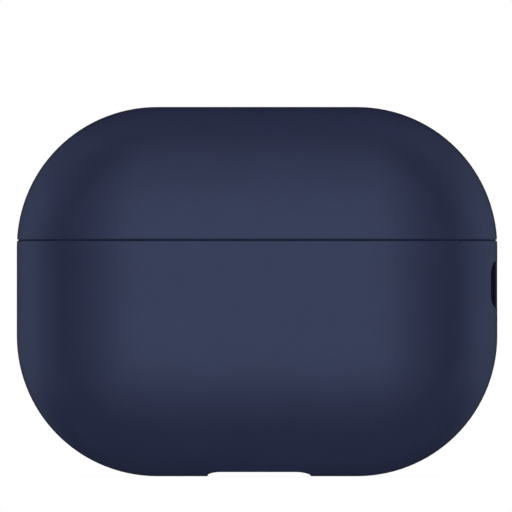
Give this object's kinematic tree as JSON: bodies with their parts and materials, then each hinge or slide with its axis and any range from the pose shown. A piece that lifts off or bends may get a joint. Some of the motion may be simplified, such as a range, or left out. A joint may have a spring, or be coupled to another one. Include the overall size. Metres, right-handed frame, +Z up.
{
  "type": "wireless earbuds case",
  "caption": "Pocket charging case with a pair of wireless earbuds, in a hard two-piece cover with a rear hinge, cord slot and port opening.",
  "frame": {"origin": "middle of the underside of the closed cover, in its middle plane", "axes": "+X towards the side with the cord slot, +Y towards the hinge at the back, +Z up"},
  "size_m": [0.0648, 0.0244, 0.0498],
  "materials": {
    "cover_navy": "satin soft-touch",
    "bar_dark": "satin",
    "adhesive_foam": "matte",
    "case_plastic": "polished",
    "liner_plastic": "satin",
    "steel_satin": "brushed",
    "screw_steel": "zinc plated",
    "magnet_nickel": "nickel plated",
    "battery_pouch": "matte foil",
    "circuit_board": "solder mask",
    "chip_black": "moulded",
    "flex_amber": "film",
    "copper_wire": "enamelled",
    "ferrite": "matte",
    "contact_gold": "plated",
    "earbud_plastic": "polished",
    "tip_silicone": "matte",
    "mesh_steel": "perforated",
    "driver_metal": "satin",
    "cell_steel": "satin",
    "clear_plastic": "clear",
    "lamp_ceramic": "matte",
    "button_plastic": "satin",
    "switch_steel": "satin"
  },
  "bodies": {
    "base": {"cover_base": "cover_navy", "lanyard_bar": "bar_dark", "case_base_shell": "case_plastic", "cradle_insert": "liner_plastic", "base_hinge_leaf": "steel_satin", "hinge_pin": "steel_satin", "base_hinge_screws": "screw_steel", "base_closure_magnets": "magnet_nickel", "earbud_holding_magnets": "magnet_nickel", "battery": "battery_pouch", "main_board": "circuit_board", "main_board_chips": "chip_black", "port_board": "circuit_board", "port_connector_shell": "steel_satin", "port_connector_tongue": "chip_black", "lamp_flex_cable": "flex_amber", "port_flex_cable": "flex_amber", "charging_coil": "copper_wire", "coil_ferrite_sheet": "ferrite", "setup_switch": "switch_steel", "status_lamp": "lamp_ceramic", "status_light_pipe": "clear_plastic", "contact_barrels": "contact_gold", "left_earbud_housing": "earbud_plastic", "left_ear_tip": "tip_silicone", "left_nozzle_mesh": "mesh_steel", "left_vent_mesh": "mesh_steel", "left_driver": "driver_metal", "left_earbud_cell": "cell_steel", "left_stem_board": "circuit_board", "left_stem_contacts": "contact_gold", "right_earbud_housing": "earbud_plastic", "right_ear_tip": "tip_silicone", "right_nozzle_mesh": "mesh_steel", "right_vent_mesh": "mesh_steel", "right_driver": "driver_metal", "right_earbud_cell": "cell_steel", "right_stem_board": "circuit_board", "right_stem_contacts": "contact_gold"},
    "lid": {"cover_lid": "cover_navy", "lid_adhesive_pads": "adhesive_foam", "case_lid_shell": "case_plastic", "lid_liner": "liner_plastic", "lid_hinge_leaf": "steel_satin", "lid_hinge_screws": "screw_steel", "lid_closure_magnets": "magnet_nickel"},
    "button": {"setup_button": "button_plastic"},
    "left_pins": {"left_contact_pins": "contact_gold"},
    "right_pins": {"right_contact_pins": "contact_gold"}
  },
  "joints": [
    {"name": "lid_hinge", "type": "hinge", "parent": "base", "child": "lid", "pos_m": [0, 0.0103, 0.0318], "axis": [-1, 0, 0], "range_deg": [0, 105]},
    {"name": "setup_button_press", "type": "slide", "parent": "base", "child": "button", "axis": [0, -1, 0], "range_m": [0, 0.0003], "stiffness_N_per_m": 20, "springref_m": -0.0001},
    {"name": "left_contact_press", "type": "slide", "parent": "base", "child": "left_pins", "axis": [0, 0, -1], "range_m": [0, 0.0004], "stiffness_N_per_m": 5, "springref_m": -0.0002},
    {"name": "right_contact_press", "type": "slide", "parent": "base", "child": "right_pins", "axis": [0, 0, -1], "range_m": [0, 0.0004], "stiffness_N_per_m": 5, "springref_m": -0.0002}
  ]
}
